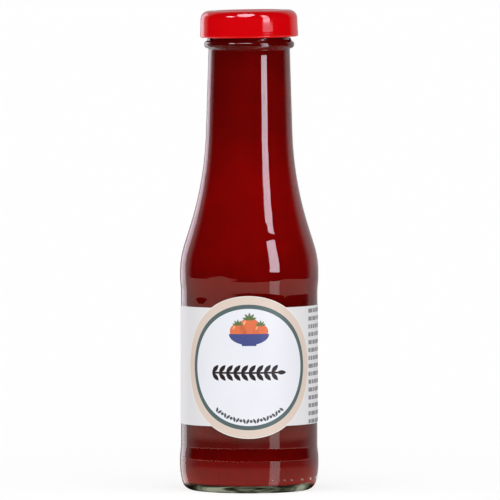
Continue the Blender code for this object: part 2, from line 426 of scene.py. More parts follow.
def turned(name, corners):
    """A profile drawn by extruding one point along its outline, then spun round Z."""
    points = closely_spaced(rounded_outline(corners))
    select_none()
    bpy.ops.mesh.primitive_plane_add(size=MM)
    piece = name_piece(name)
    bpy.ops.object.mode_set(mode="EDIT")
    bpy.ops.mesh.merge(type="CENTER")
    bpy.ops.transform.translate(value=(points[0].x, 0, points[0].y))
    for before, after in zip(points, points[1:]):
        move = (after.x - before.x, 0, after.y - before.y)
        bpy.ops.mesh.extrude_region_move(TRANSFORM_OT_translate={"value": move})
    bpy.ops.mesh.select_all(action="SELECT")
    bpy.ops.mesh.spin(steps=TURN_STEPS, angle=2 * pi, center=(0, 0, 0), axis=(0, 0, 1))
    bpy.ops.mesh.select_all(action="SELECT")
    bpy.ops.mesh.remove_doubles(threshold=MERGE_DISTANCE)
    bpy.ops.mesh.normals_make_consistent(inside=False)
    bpy.ops.object.mode_set(mode="OBJECT")
    return piece


def inner_wall(inset):
    """Corners of the space inside the glass, made smaller by inset: floor centre up to the neck."""
    body = PANEL_RADIUS - WALL - inset
    neck_foot = NECK_FOOT_RADIUS - WALL - inset
    return [
        (0.0, FLOOR_HEIGHT + inset, 0),
        (FLOOR_KNEE_RADIUS, FLOOR_KNEE_HEIGHT + inset, FLOOR_SWEEP),
        (body, FLOOR_EDGE_HEIGHT + inset, INNER_HEEL_ROUNDING),
        (body, SHOULDER_BOTTOM - WALL_DROP, SHOULDER_SWEEP),
        (neck_foot, SHOULDER_TOP - WALL_DROP, NECK_SWEEP),
    ]


def on_shoulder(height, swell):
    """A corner on the straight middle of the shoulder, moved out by swell."""
    share = (SHOULDER_TOP - height) / (SHOULDER_TOP - SHOULDER_BOTTOM)
    return (NECK_FOOT_RADIUS + share * (UPPER_BAND_RADIUS - NECK_FOOT_RADIUS) + swell, height, 0)


def make_glass():
    """The wall and base in one turned profile, up inside and down outside, with faint mould waves."""
    outside = [
        (MOUTH_RADIUS, NECK_TOP, MOUTH_SWEEP),
        (MOUTH_RADIUS, BODY_HEIGHT, RIM_ROUNDING),
        (FINISH_RADIUS, BODY_HEIGHT, RIM_ROUNDING),
        (FINISH_RADIUS, BEAD_TOP, BEAD_ROOT_ROUNDING),
        (BEAD_RADIUS, BEAD_TOP, BEAD_ROUNDING),
        (BEAD_RADIUS, BEAD_BOTTOM, BEAD_ROUNDING),
        (NECK_TOP_RADIUS, NECK_TOP, BEAD_ROOT_ROUNDING),
        (NECK_FOOT_RADIUS, SHOULDER_TOP, NECK_SWEEP),
        on_shoulder(SHOULDER_RIPPLE_HIGH, -SHOULDER_RIPPLE),
        on_shoulder(SHOULDER_RIPPLE_LOW, SHOULDER_RIPPLE),
        (UPPER_BAND_RADIUS, SHOULDER_BOTTOM, SHOULDER_SWEEP),
        (UPPER_BAND_RADIUS, UPPER_BAND_BOTTOM, UPPER_BAND_SWEEP),
        (PANEL_RADIUS, PANEL_TOP, UPPER_BAND_SWEEP),
        (PANEL_RADIUS, PANEL_BOTTOM, LOWER_BAND_SWEEP),
        (LOWER_BAND_RADIUS, LOWER_BAND_TOP, LOWER_BAND_SWEEP),
        (LOWER_BAND_RADIUS, HEEL_TOP, HEEL_SWEEP),
        (HEEL_FOOT_RADIUS, 0.0, HEEL_ROUNDING),
        (BEARING_INNER_RADIUS, 0.0, BEARING_ROUNDING),
        (PUSH_UP_EDGE_RADIUS, PUSH_UP_EDGE_HEIGHT, PUSH_UP_SWEEP),
        (0.0, PUSH_UP, 0),
    ]
    glass = turned("glass_bottle", inner_wall(0.0) + outside)
    waves = bpy.data.textures.new("Mould waves", "CLOUDS")
    waves.noise_scale = WAVE_LENGTH
    waves.noise_depth = 1
    skin = glass.vertex_groups.new(name="skin")
    for vert in glass.data.vertices:
        reach = sqrt(vert.co.x**2 + vert.co.y**2)
        if HEEL_TOP < vert.co.z < NECK_TOP and reach > MOUTH_RADIUS + WALL:
            skin.add([vert.index], 1.0, "REPLACE")
    swell = glass.modifiers.new("Mould waves", "DISPLACE")
    swell.texture = waves
    swell.vertex_group = "skin"
    swell.strength = WAVE_DEPTH
    apply_modifiers(glass)
    glass.vertex_groups.clear()
    return glass


def make_lug(number):
    """A short sloping thread: a round bar swept round the mouth."""
    select_none()
    bpy.ops.mesh.primitive_circle_add(
        vertices=14,
        radius=LUG_THICKNESS / 2,
        fill_type="NGON",
        location=(FINISH_RADIUS, 0, 0),
        rotation=(pi / 2, 0, 0),
    )
    lug = name_piece(f"lug_{number}")
    settle(lug)
    bpy.ops.object.mode_set(mode="EDIT")
    bpy.ops.mesh.select_all(action="SELECT")
    bpy.ops.mesh.spin(steps=24, angle=LUG_SWEEP, center=(0, 0, 0), axis=(0, 0, 1))
    bpy.ops.mesh.select_all(action="SELECT")
    bpy.ops.mesh.remove_doubles(threshold=MERGE_DISTANCE)
    bpy.ops.mesh.select_all(action="DESELECT")
    bpy.ops.mesh.select_mode(type="EDGE")
    bpy.ops.mesh.select_non_manifold()
    bpy.ops.mesh.fill_holes(sides=0)
    bpy.ops.mesh.select_mode(type="VERT")
    bpy.ops.mesh.select_all(action="SELECT")
    bpy.ops.mesh.normals_make_consistent(inside=False)
    bpy.ops.object.mode_set(mode="OBJECT")
    for vert in lug.data.vertices:
        along = Vector((vert.co.x, vert.co.y)).angle_signed(Vector((1, 0)))
        share = along / LUG_SWEEP
        vert.co.z += LUG_RISE * share + LUG_END_HEIGHT
    lug.rotation_euler.z = LUG_END_TURN + number * 2 * pi / LUGS
    settle(lug)
    return lug


def make_mould_dot(turn):
    """A small raised mark that the mould leaves by the heel."""
    select_none()
    angle = radians(turn) - pi / 2
    x, y = MOULD_DOT_REACH * cos(angle), MOULD_DOT_REACH * sin(angle)
    bpy.ops.mesh.primitive_uv_sphere_add(
        segments=12,
        ring_count=8,
        radius=MOULD_DOT_RADIUS,
        location=(x, y, MOULD_DOT_HEIGHT),
    )
    dot = name_piece("mould_dot")
    settle(dot)
    return dot


def fuse(body, pieces):
    """Joins small pieces to a body with one exact union."""
    extra = join(pieces, "extra")
    union = body.modifiers.new("Fuse", "BOOLEAN")
    union.operation = "UNION"
    union.solver = "EXACT"
    union.object = extra
    apply_modifiers(body)
    bpy.data.objects.remove(extra)


def make_filling():
    """Ketchup up to a level hidden by the cap, wetting the wall so that no air gap shows."""
    neck_radius = MOUTH_RADIUS + WETTING
    corners = [
        (0.0, FILL_LEVEL, 0),
        (neck_radius, FILL_LEVEL, FILL_EDGE_ROUNDING),
        (neck_radius, NECK_TOP, MOUTH_SWEEP),
    ]
    corners += list(reversed(inner_wall(-WETTING)))
    filling = turned("ketchup_fill", corners)
    filling.data.materials.append(tomato_ketchup())
    return filling


def make_cap():
    """Pressed shell with a rounded shoulder, a shallow top panel and a curled lower edge."""
    inner_radius = CAP_RADIUS - CAP_WALL
    under = CAP_TOP - CAP_WALL
    curl_top = CAP_BOTTOM + CURL_HEIGHT
    corners = [
        (0.0, CAP_TOP - CAP_PANEL_DEPTH, 0),
        (CAP_PANEL_RADIUS, CAP_TOP - CAP_PANEL_DEPTH, CAP_PANEL_ROUNDING),
        (CAP_PANEL_RADIUS + CAP_PANEL_STEP, CAP_TOP, CAP_PANEL_ROUNDING),
        (CAP_RADIUS - CAP_DRAFT, CAP_TOP, CAP_CORNER),
        (CAP_RADIUS, curl_top + CURL_FLARE / 2, CURL_FLARE_ROUNDING),
        (CURL_OUTER_RADIUS, curl_top - CURL_FLARE / 2, CURL_FLARE_ROUNDING),
        (CURL_OUTER_RADIUS, CAP_BOTTOM, CURL_ROUNDING),
        (CURL_INNER_RADIUS, CAP_BOTTOM, CURL_ROUNDING),
        (CURL_INNER_RADIUS, curl_top, CURL_ROUNDING),
        (inner_radius, curl_top, 0),
        (inner_radius - CAP_DRAFT, under, CAP_CORNER - CAP_WALL),
        (CAP_PANEL_RADIUS + CAP_PANEL_STEP, under, 0),
        (CAP_PANEL_RADIUS, under - CAP_PANEL_DEPTH, 0),
        (0.0, under - CAP_PANEL_DEPTH, 0),
    ]
    cap = turned("cap_shell", corners)
    press_cap_lugs(cap, curl_top)
    cap.rotation_euler.y = CAP_TILT
    middle = Vector((0, 0, CAP_BOTTOM))
    cap.location = middle - cap.rotation_euler.to_matrix() @ middle
    settle(cap)
    return cap


def press_cap_lugs(cap, curl_top):
    """Pushes the curl in where the four gripping lugs are pressed."""
    for vert in cap.data.vertices:
        reach = sqrt(vert.co.x**2 + vert.co.y**2)
        if vert.co.z > curl_top - CURL_FLARE / 2 or reach < CURL_INNER_RADIUS - CAP_WALL:
            continue
        angle = Vector((0, -1)).angle_signed(Vector((vert.co.x, vert.co.y)))
        # How far round from the nearest lug: they are a quarter turn apart
        off = abs(abs(((angle + pi / 4) % (pi / 2)) - pi / 4) - CAP_LUG_TURN)
        share = max(0.0, 1 - (off / CAP_LUG_HALF_WIDTH) ** 2)
        press = 1 - (1 - CAP_LUG_PRESS) * share
        vert.co.x *= press
        vert.co.y *= press


def flat_circle(name, radius, x=0.0, z=0.0, vertices=96):
    """A filled circle in the flat sheet's plane, XZ."""
    select_none()
    bpy.ops.mesh.primitive_circle_add(
        vertices=vertices,
        radius=radius,
        fill_type="NGON",
        location=(x, 0, z),
        rotation=(pi / 2, 0, 0),
    )
    piece = name_piece(name)
    settle(piece)
    return piece


def in_columns(piece):
    """Cuts a flat piece into narrow upright columns, so that it can be rolled."""
    low, high = ends_along(piece)
    select_only([piece])
    bpy.ops.object.mode_set(mode="EDIT")
    for column in range(ceil(low / COLUMN_WIDTH), ceil(high / COLUMN_WIDTH)):
        bpy.ops.mesh.select_all(action="SELECT")
        bpy.ops.mesh.bisect(plane_co=(column * COLUMN_WIDTH, 0, 0), plane_no=(1, 0, 0))
    bpy.ops.object.mode_set(mode="OBJECT")


def roll(piece, thickness, standoff):
    """Turns the flat sheet by the label's slant, wraps it round the panel and gives it thickness."""
    piece.rotation_euler.y = -LABEL_TURN
    settle(piece)
    low, high = ends_along(piece)
    wrap = piece.modifiers.new("Wrap", "SIMPLE_DEFORM")
    wrap.deform_method = "BEND"
    wrap.deform_axis = "Z"
    wrap.angle = (high - low) / PANEL_RADIUS
    apply_modifiers(piece)
    piece.location = (0, -PANEL_RADIUS, LABEL_CENTRE)
    settle(piece)
    piece.scale = (1 + standoff / PANEL_RADIUS, 1 + standoff / PANEL_RADIUS, 1)
    settle(piece)
    body = piece.modifiers.new("Paper", "SOLIDIFY")
    body.thickness = thickness
    body.offset = 1.0
    apply_modifiers(piece)


def select_edges(piece, wanted):
    """Selects the edges whose two ends are both wanted, from object mode."""
    mesh = piece.data
    clear_selection(mesh)
    for edge in mesh.edges:
        edge.select = all(wanted(mesh.vertices[i].co) for i in edge.vertices)


def make_label(papers):
    """Die-cut paper: a round lobe with printed rings, and a band to the back seam on each side."""
    label = flat_circle("label_paper", LOBE_RADIUS, vertices=192)
    bpy.ops.object.mode_set(mode="EDIT")
    bpy.ops.mesh.select_mode(type="FACE")
    for ring in LABEL_RINGS:
        bpy.ops.mesh.inset(thickness=ring, use_boundary=True)
    bpy.ops.object.mode_set(mode="OBJECT")
    draw_out_bands(label)
    colour_zones(label, papers)
    label.scale.x = LABEL_NARROWING
    label.location.x = LABEL_ASIDE
    settle(label)
    in_columns(label)
    roll(label, PAPER_THICKNESS, PAPER_STANDOFF)
    return label


def draw_out_bands(label):
    """Draws each side of the lobe's rim out level to the back seam."""
    end = (pi * PANEL_RADIUS - SEAM_GAP / 2) / LABEL_NARROWING
    rim = LOBE_RADIUS - LABEL_MARGIN / 2
    for side in (1, -1):
        select_edges(
            label,
            lambda co: co.length > rim and co.x * side > 0 and abs(co.z) < LABEL_HALF_BAND,
        )
        bpy.ops.object.mode_set(mode="EDIT")
        bpy.ops.mesh.select_mode(type="EDGE")
        bpy.ops.mesh.extrude_edges_move()
        bpy.ops.transform.resize(value=(0, 1, 1), center_override=(side * end, 0, 0))
        bpy.ops.object.mode_set(mode="OBJECT")


def colour_zones(label, papers):
    """Gives each face its paper: papers has the rings' from the rim inwards, the disc's, the band's."""
    zones = list(papers)
    for zone in zones:
        label.data.materials.append(papers[zone])
    steps = [LOBE_RADIUS - sum(LABEL_RINGS[: count + 1]) for count in range(len(LABEL_RINGS))]
    for face in label.data.polygons:
        reaches = [label.data.vertices[i].co.length for i in face.vertices]
        middle = (max(reaches) + min(reaches)) / 2
        if max(reaches) > LOBE_RADIUS + LABEL_MARGIN / 2:
            face.material_index = zones.index("band")
        elif len(reaches) > 4:
            face.material_index = zones.index("disc")
        else:
            face.material_index = sum(middle < step for step in steps)


def flat_leaf(length, width, x, z, turn):
    """An almond-shaped leaf in the sheet's plane, pointing along turn, its foot at x, z."""
    leaf = flat_circle("leaf", 1.0, vertices=20)
    for vert in leaf.data.vertices:
        side = 1 if vert.co.z > 0 else -1
        bulge = side * (1 - vert.co.x**2)
        vert.co = (length / 2 * (1 + vert.co.x), 0, width / 2 * bulge)
    leaf.rotation_euler.y = -turn
    leaf.location = (x, 0, z)
    settle(leaf)
    return leaf


def flat_bar(width, height, x, z):
    """A level bar in the sheet's plane, its middle at x, z."""
    select_none()
    bpy.ops.mesh.primitive_plane_add(size=1.0, rotation=(pi / 2, 0, 0))
    bar = name_piece("bar")
    settle(bar)
    bar.scale = (width, 1, height)
    bar.location = (x, 0, z)
    settle(bar)
    return bar


def flat_oval(width, height, x, z):
    """An oval in the sheet's plane, its middle at x, z."""
    oval = flat_circle("oval", 0.5, vertices=48)
    oval.scale = (width, 1, height)
    oval.location = (x, 0, z)
    settle(oval)
    return oval


def printed(pieces, name, ink, layer):
    """Joins flat shapes, rolls them on to the paper as one film of ink, and colours them."""
    film = join(pieces, name)
    in_columns(film)
    standoff = PAPER_STANDOFF + PAPER_THICKNESS + (INK_PITCH * layer + INK_LIFT) * INK_THICKNESS
    roll(film, INK_THICKNESS, standoff)
    film.data.materials.clear()
    film.data.materials.append(ink)
    return film


def print_fruit_bowl(inks):
    """Three tomatoes in a blue bowl, above the middle of the disc."""
    bowl = flat_oval(BOWL_WIDTH, 2 * BOWL_DEPTH, 0, BOWL_RIM)
    bpy.ops.object.mode_set(mode="EDIT")
    bpy.ops.mesh.select_all(action="SELECT")
    bpy.ops.mesh.bisect(plane_co=(0, 0, BOWL_RIM), plane_no=(0, 0, 1), clear_outer=True)
    bpy.ops.object.mode_set(mode="OBJECT")
    foot = flat_bar(BOWL_FOOT_WIDTH, BOWL_FOOT_HEIGHT, 0, BOWL_RIM - BOWL_FOOT_DROP)
    fruit = []
    shine = []
    calyx = []
    for x, z, size in TOMATOES:
        fruit.append(flat_oval(TOMATO_WIDTH * size, size, x, z))
        length, width = [share * size for share in SHINE_SIZE]
        left, raised = x - SHINE_LEFT * size, z + SHINE_RAISED * size
        shine.append(flat_leaf(length, width, left, raised, SHINE_TURN))
        length, width = [share * size for share in CALYX_LEAF]
        for turn in CALYX_TURNS:
            calyx.append(flat_leaf(length, width, x, z + CALYX_RAISED * size, radians(turn)))
    return [
        printed(fruit, "print_tomatoes", inks["orange"], 0),
        printed(shine, "print_shine", inks["pale orange"], 1),
        printed(calyx, "print_calyx", inks["green"], 1),
        printed([bowl, foot], "print_bowl", inks["blue"], 2),
    ]


def print_sprig(inks):
    """A level sprig of paired leaves, across the middle of the disc."""
    marks = [flat_bar(SPRIG_LENGTH, SPRIG_STEM, SPRIG_MIDDLE, SPRIG_HEIGHT)]
    for pair in range(SPRIG_PAIRS):
        x = SPRIG_MIDDLE + SPRIG_LENGTH * (pair / SPRIG_PAIRS - 0.5)
        for turn in (SPRIG_LEAF_TURN, -SPRIG_LEAF_TURN):
            marks.append(flat_leaf(SPRIG_LEAF, SPRIG_LEAF_WIDTH, x, SPRIG_HEIGHT, turn))
    tip = SPRIG_MIDDLE + SPRIG_LENGTH / 2 - SPRIG_STEM
    marks.append(flat_leaf(SPRIG_LEAF, SPRIG_LEAF_WIDTH, tip, SPRIG_HEIGHT, 0))
    return printed(marks, "print_sprig", inks["black"], 0)


def print_arc(inks):
    """A curved row inside the bottom of the ring: two leaning seeds, then a dot."""
    marks = []
    for mark in range(ARC_MARKS):
        turn = ARC_REACH * (2 * mark / (ARC_MARKS - 1) - 1)
        x, z = ARC_RADIUS * sin(turn), -ARC_RADIUS * cos(turn)
        kind = mark % 3
        if kind == 2:
            marks.append(flat_oval(ARC_DOT, ARC_DOT, x, z))
            continue
        lean = turn + ARC_SEED_LEANS[kind]
        x -= ARC_SEED / 2 * cos(lean)
        z -= ARC_SEED / 2 * sin(lean)
        marks.append(flat_leaf(ARC_SEED, ARC_SEED_WIDTH, x, z, lean))
    return printed(marks, "print_arc", inks["slate"], 0)


def dash_gaps(columns, seed):
    """The cells (line, column) that stay bare: one after each dash, and the end of each line."""
    pick = Random(seed)
    gaps = set()
    for line in range(ROW_LINES):
        column = pick.randint(*FIRST_DASH)
        while column < columns:
            gaps.add((line, column))
            column += pick.randint(*NEXT_DASH)
        reach = round(columns * pick.uniform(*LINE_SHARE))
        gaps.update((line, column) for column in range(reach, columns))
    return gaps


def print_rows(name, start, end, seed, inks):
    """Rows of short plain dashes where the small print was, cut out of a grid."""
    columns = round((end - start) / DASH_CELL)
    levels = 2 * ROW_LINES - 1
    select_none()
    bpy.ops.mesh.primitive_grid_add(
        x_subdivisions=columns,
        y_subdivisions=levels,
        size=1.0,
        rotation=(pi / 2, 0, 0),
    )
    rows = name_piece(name)
    settle(rows)
    level = {}
    for vert in rows.data.vertices:
        step = round((0.5 - vert.co.z) * levels)
        line, foot = divmod(step, 2)
        vert.co.z = ROWS_TOP - line * ROW_PITCH - (DASH_HEIGHT if foot else 0)
        vert.co.x = start + (vert.co.x + 0.5) * (end - start)
        level[vert.index] = step
    clear_selection(rows.data)
    gaps = dash_gaps(columns, seed)
    for face in rows.data.polygons:
        step = min(level[i] for i in face.vertices)
        column = round((face.center.x - start) / (end - start) * columns - 0.5)
        face.select = step % 2 == 1 or (step // 2, column) in gaps
    # Face mode has to be set first: in vertex mode, faces between selected ones are taken as well
    bpy.context.tool_settings.mesh_select_mode = (False, False, True)
    bpy.ops.object.mode_set(mode="EDIT")
    bpy.ops.mesh.delete(type="FACE")
    bpy.ops.mesh.select_mode(type="VERT")
    bpy.ops.object.mode_set(mode="OBJECT")
    return printed([rows], name, inks["grey"], 0)


def new_material(name, inputs):
    """A material with these values on its main shader; with its node tree and that shader."""
    material = bpy.data.materials.new(name)
    material.use_nodes = True
    shader = material.node_tree.nodes["Principled BSDF"]
    for socket, value in inputs.items():
        shader.inputs[socket].default_value = value
    return material, material.node_tree, shader


def paper(name, colour):
    """Coated paper, printed by offset: a slightly uneven tone and a fine fibre relief."""
    material, tree, shader = new_material(name, {"Roughness": 0.45})
    place = add_node(tree, "TexCoord")
    tone = add_node(
        tree,
        "TexNoise",
        inputs={"Scale": 1 / PAPER_MOTTLE, "Detail": 3.0},
        links={"Vector": place.outputs["Object"]},
    )
    base = linear(colour)[:3]
    darkest, lightest = 1 - PAPER_UNEVENNESS, 1 + PAPER_UNEVENNESS
    mottled = add_node(
        tree,
        "Mix",
        settings={"data_type": "RGBA"},
        inputs={
            "A": (*[c * darkest for c in base], 1),
            "B": (*[min(1.0, c * lightest) for c in base], 1),
        },
        links={"Factor": tone.outputs["Fac"]},
    )
    tree.links.new(find_socket(mottled.outputs, "Result"), shader.inputs["Base Color"])
    fibre = add_node(
        tree,
        "TexNoise",
        inputs={"Scale": 1 / PAPER_FIBRE, "Detail": 4.0},
        links={"Vector": place.outputs["Object"]},
    )
    relief = add_node(
        tree,
        "Bump",
        inputs={"Strength": 0.15, "Distance": FIBRE_RELIEF},
        links={"Height": fibre.outputs["Fac"]},
    )
    tree.links.new(relief.outputs["Normal"], shader.inputs["Normal"])
    return material


def flint_glass():
    """Machine-blown, fire-polished container glass: mirror-smooth, clear, greenish where it is thick."""
    inputs = {
        "Base Color": linear("#FBFDFC"),
        "Roughness": 0.0,
        "IOR": 1.52,
        "Transmission Weight": 1.0,
    }
    material, tree, shader = new_material("Flint glass", inputs)
    out = tree.nodes["Material Output"]
    # Shadow rays go straight through, so that the filling and the table are lit
    path = add_node(tree, "LightPath")
    open_air = add_node(tree, "BsdfTransparent", inputs={"Color": (0.92, 0.94, 0.93, 1)})
    pick = add_node(tree, "MixShader", links={0: path.outputs["Is Shadow Ray"]})
    tree.links.new(shader.outputs["BSDF"], pick.inputs[1])
    tree.links.new(open_air.outputs["BSDF"], pick.inputs[2])
    tree.links.new(pick.outputs["Shader"], out.inputs["Surface"])
    tint = add_node(
        tree,
        "VolumeAbsorption",
        inputs={"Color": (0.8, 0.83, 0.75, 1), "Density": 150.0},
    )
    tree.links.new(tint.outputs["Volume"], out.inputs["Volume"])
    return material


def tomato_ketchup():
    """Smooth ketchup against the glass: deep red with painted shade by height, darker where less light
    gets in, faintly mottled; a painted reflection of the base below.
    """
    inputs = {"Roughness": 0.6, "Specular IOR Level": 0.0}
    material, tree, shader = new_material("Tomato ketchup", inputs)
    place = add_node(tree, "TexCoord")
    level = add_node(tree, "SeparateXYZ", links={0: place.outputs["Object"]})
    up = add_node(
        tree,
        "MapRange",
        inputs={"From Max": BODY_HEIGHT},
        links={"Value": level.outputs["Z"]},
    )
    # Painted shade and light by height: darker up the neck and by the label, lighter on the shoulder and
    # at the foot
    painted_light_and_shade = add_node(tree, "ValToRGB", links={"Fac": up.outputs[0]})
    paint_ramp(painted_light_and_shade.color_ramp, KETCHUP_PAINTED_LIGHT_AND_SHADE)
    clouds = add_node(
        tree,
        "TexNoise",
        inputs={"Scale": 1 / KETCHUP_MOTTLE, "Detail": 3.0},
        links={"Vector": place.outputs["Object"]},
    )
    darkest, lightest = 1 - KETCHUP_UNEVENNESS, 1 + KETCHUP_UNEVENNESS
    mottle = add_node(
        tree,
        "MapRange",
        inputs={"From Min": 0.3, "From Max": 0.7, "To Min": darkest, "To Max": lightest},
        links={"Value": clouds.outputs["Fac"]},
    )
    red = add_node(
        tree,
        "Math",
        settings={"operation": "MULTIPLY"},
        links={0: painted_light_and_shade.outputs["Color"], 1: mottle.outputs[0]},
    )
    colour = add_node(
        tree,
        "CombineColor",
        inputs={"Green": KETCHUP_GREEN, "Blue": KETCHUP_BLUE},
        links={"Red": red.outputs[0]},
    )
    # Painted reflection and painted shade of the thick base, on the underside that is seen through it
    green, within = painted_base_reflection(tree, place)
    low = add_node(
        tree,
        "Math",
        settings={"operation": "LESS_THAN"},
        inputs={1: UNDERSIDE_TOP},
        links={0: level.outputs["Z"]},
    )
    part = add_node(
        tree,
        "Math",
        settings={"operation": "MULTIPLY"},
        links={0: low.outputs[0], 1: within},
    )
    both = add_node(
        tree,
        "Mix",
        settings={"data_type": "RGBA"},
        links={"Factor": part.outputs[0], "A": colour.outputs[0], "B": green},
    )
    tree.links.new(find_socket(both.outputs, "Result"), shader.inputs["Base Color"])
    return material


def painted_base_reflection(tree, place):
    """Painted reflection of the thick base: grey-green with long pale streaks of painted light, painted
    shade at its rim; and where that is.
    """
    flat = add_node(
        tree,
        "VectorMath",
        settings={"operation": "MULTIPLY"},
        inputs={1: (1 / UNDERSIDE_SIDE, -1 / UNDERSIDE_FRONT, 0)},
        links={0: place.outputs["Object"]},
    )
    reach = add_node(
        tree,
        "VectorMath",
        settings={"operation": "LENGTH"},
        links={0: flat.outputs[0]},
    )
    across = add_node(tree, "SeparateXYZ", links={0: flat.outputs[0]})
    turn = add_node(
        tree,
        "Math",
        settings={"operation": "ARCTAN2"},
        links={0: across.outputs["X"], 1: across.outputs["Y"]},
    )
    lie = add_node(tree, "CombineXYZ", links={"X": turn.outputs[0], "Y": reach.outputs["Value"]})
    drawn_out = add_node(
        tree,
        "VectorMath",
        settings={"operation": "MULTIPLY"},
        inputs={1: UNDERSIDE_STREAKS},
        links={0: lie.outputs[0]},
    )
    streaks = add_node(
        tree,
        "TexNoise",
        inputs={"Scale": 1.0, "Detail": 2.0},
        links={"Vector": drawn_out.outputs[0]},
    )
    aside = add_node(tree, "Math", settings={"operation": "ABSOLUTE"}, links={0: turn.outputs[0]})
    # Painted light: lighter towards the sides
    start, end = UNDERSIDE_SIDE_TURNS
    painted_side_light = add_node(
        tree,
        "MapRange",
        inputs={"From Min": start, "From Max": end, "To Max": UNDERSIDE_SIDE_LIGHT},
        links={"Value": aside.outputs[0]},
    )
    light = add_node(tree, "Math", links={0: streaks.outputs["Fac"], 1: painted_side_light.outputs[0]})
    # Painted shade: darker at the rim
    start, end = UNDERSIDE_RIM
    rim = add_node(
        tree,
        "MapRange",
        inputs={"From Min": start, "From Max": end, "To Max": UNDERSIDE_RIM_SHADE},
        links={"Value": reach.outputs["Value"]},
    )
    dimmed = add_node(
        tree,
        "Math",
        settings={"operation": "SUBTRACT"},
        links={0: light.outputs[0], 1: rim.outputs[0]},
    )
    tone = add_node(tree, "ValToRGB", links={"Fac": dimmed.outputs[0]})
    paint_ramp(tone.color_ramp, [(at, linear(code)[:3]) for at, code in UNDERSIDE_PAINTED_TONES])
    within = add_node(
        tree,
        "MapRange",
        inputs={"From Min": UNDERSIDE_EDGE, "From Max": 1.0, "To Min": 1.0, "To Max": 0.0},
        links={"Value": reach.outputs["Value"]},
    )
    return tone.outputs["Color"], within.outputs[0]


def red_lacquer():
    """Stoved lacquer on tinplate, coated flat and then pressed: an even red with a sharp gloss."""
    inputs = {"Base Color": linear("#D80008"), "Roughness": 0.07}
    return new_material("Red lacquered tinplate", inputs)[0]


def softbox(name, azimuth, distance, middle, size, radiance, tilt=0.0, shape="RECTANGLE"):
    """A flat lamp beside the bottle; azimuth 0 is the camera's side, + to its right."""
    light = bpy.data.lights.new(name, "AREA")
    light.shape = shape
    light.size, light.size_y = size
    light.energy = radiance * pi * light.size * light.size_y
    light.color = linear(LAMP_COLOUR)[:3]
    lamp = bpy.data.objects.new(name, light)
    bpy.context.scene.collection.objects.link(lamp)
    turn = radians(azimuth)
    lamp.location = (sin(turn) * distance, -cos(turn) * distance, middle)
    lamp.rotation_euler = (pi / 2 - radians(tilt), 0, turn)
    lamp.visible_camera = False
    lamp.visible_diffuse = False


def make_lamps():
    """What gloss mirrors: a tall window in two parts, and two round patches on the cap from above."""
    for name, middle, height in WINDOW_PARTS:
        size = (WINDOW_WIDTH, height)
        softbox(name, WINDOW_TURN, WINDOW_DISTANCE, middle, size, WINDOW_RADIANCE)
    softbox(
        "Overhead",
        azimuth=-13,
        distance=1.05,
        middle=2.0,
        size=(1.15, 1.8),
        radiance=9.5,
        tilt=60,
        shape="ELLIPSE",
    )
    softbox(
        "Small window",
        azimuth=-53,
        distance=1.15,
        middle=1.1,
        size=(0.45, 0.36),
        radiance=14.0,
        tilt=38,
        shape="ELLIPSE",
    )


def make_world():
    """Soft light from the camera's side in a white room; gloss mirrors it dark with a pale backdrop."""
    world = bpy.data.worlds.new("Studio")
    bpy.context.scene.world = world
    world.use_nodes = True
    tree = world.node_tree
    back = tree.nodes["Background"]
    back.inputs["Color"].default_value = (1, 1, 1, 1)
    back.inputs["Strength"].default_value = WHITE_ROOM
    place = add_node(tree, "TexCoord")
    way = add_node(tree, "SeparateXYZ", links={0: place.outputs["Object"]})
    # What gloss mirrors
    start, end = BACKDROP_EDGE
    backdrop = add_node(
        tree,
        "MapRange",
        settings={"interpolation_type": "SMOOTHSTEP"},
        inputs={"From Min": start, "From Max": end, "To Min": DARK_ROOM, "To Max": BACKDROP},
        links={"Value": way.outputs["Y"]},
    )
    room = add_node(tree, "Background", links={"Color": backdrop.outputs[0]})
    # What lights matt surfaces
    front = add_node(
        tree,
        "MapRange",
        inputs={"From Min": -1.0, "From Max": FRONT_LIGHT_END, "To Min": FRONT_LIGHT, "To Max": 0.0},
        links={"Value": way.outputs["Y"]},
    )
    soft = add_node(tree, "Background", links={"Color": front.outputs[0]})
    path = add_node(tree, "LightPath")
    seen = add_node(
        tree,
        "Math",
        settings={"operation": "ADD", "use_clamp": True},
        links={0: path.outputs["Is Camera Ray"], 1: path.outputs["Is Transmission Ray"]},
    )
    lit = add_node(
        tree,
        "MixShader",
        links={0: seen.outputs[0], 1: soft.outputs[0], 2: back.outputs[0]},
    )
    mirrored = add_node(
        tree,
        "Math",
        settings={"operation": "SUBTRACT", "use_clamp": True},
        links={0: path.outputs["Is Glossy Ray"], 1: path.outputs["Is Transmission Ray"]},
    )
    pick = add_node(tree, "MixShader", links={0: mirrored.outputs[0]})
    tree.links.new(lit.outputs[0], pick.inputs[1])
    tree.links.new(room.outputs[0], pick.inputs[2])
    tree.links.new(pick.outputs[0], tree.nodes["World Output"].inputs["Surface"])


def mirrored_table(name, low, high, lit):
    """A lit table top from one corner (x, y) to the other, which only gloss mirrors."""
    select_none()
    bpy.ops.mesh.primitive_plane_add(size=1.0)
    top = name_piece(name)
    top.scale = (high[0] - low[0], high[1] - low[1], 1)
    top.location = ((low[0] + high[0]) / 2, (low[1] + high[1]) / 2, 0)
    settle(top)
    top.data.materials.append(lit)
    only_mirrored(top)


def only_mirrored(card):
    """Hides a card from all but gloss."""
    card.visible_camera = False
    card.visible_diffuse = False
    card.visible_transmission = False
    card.visible_shadow = False


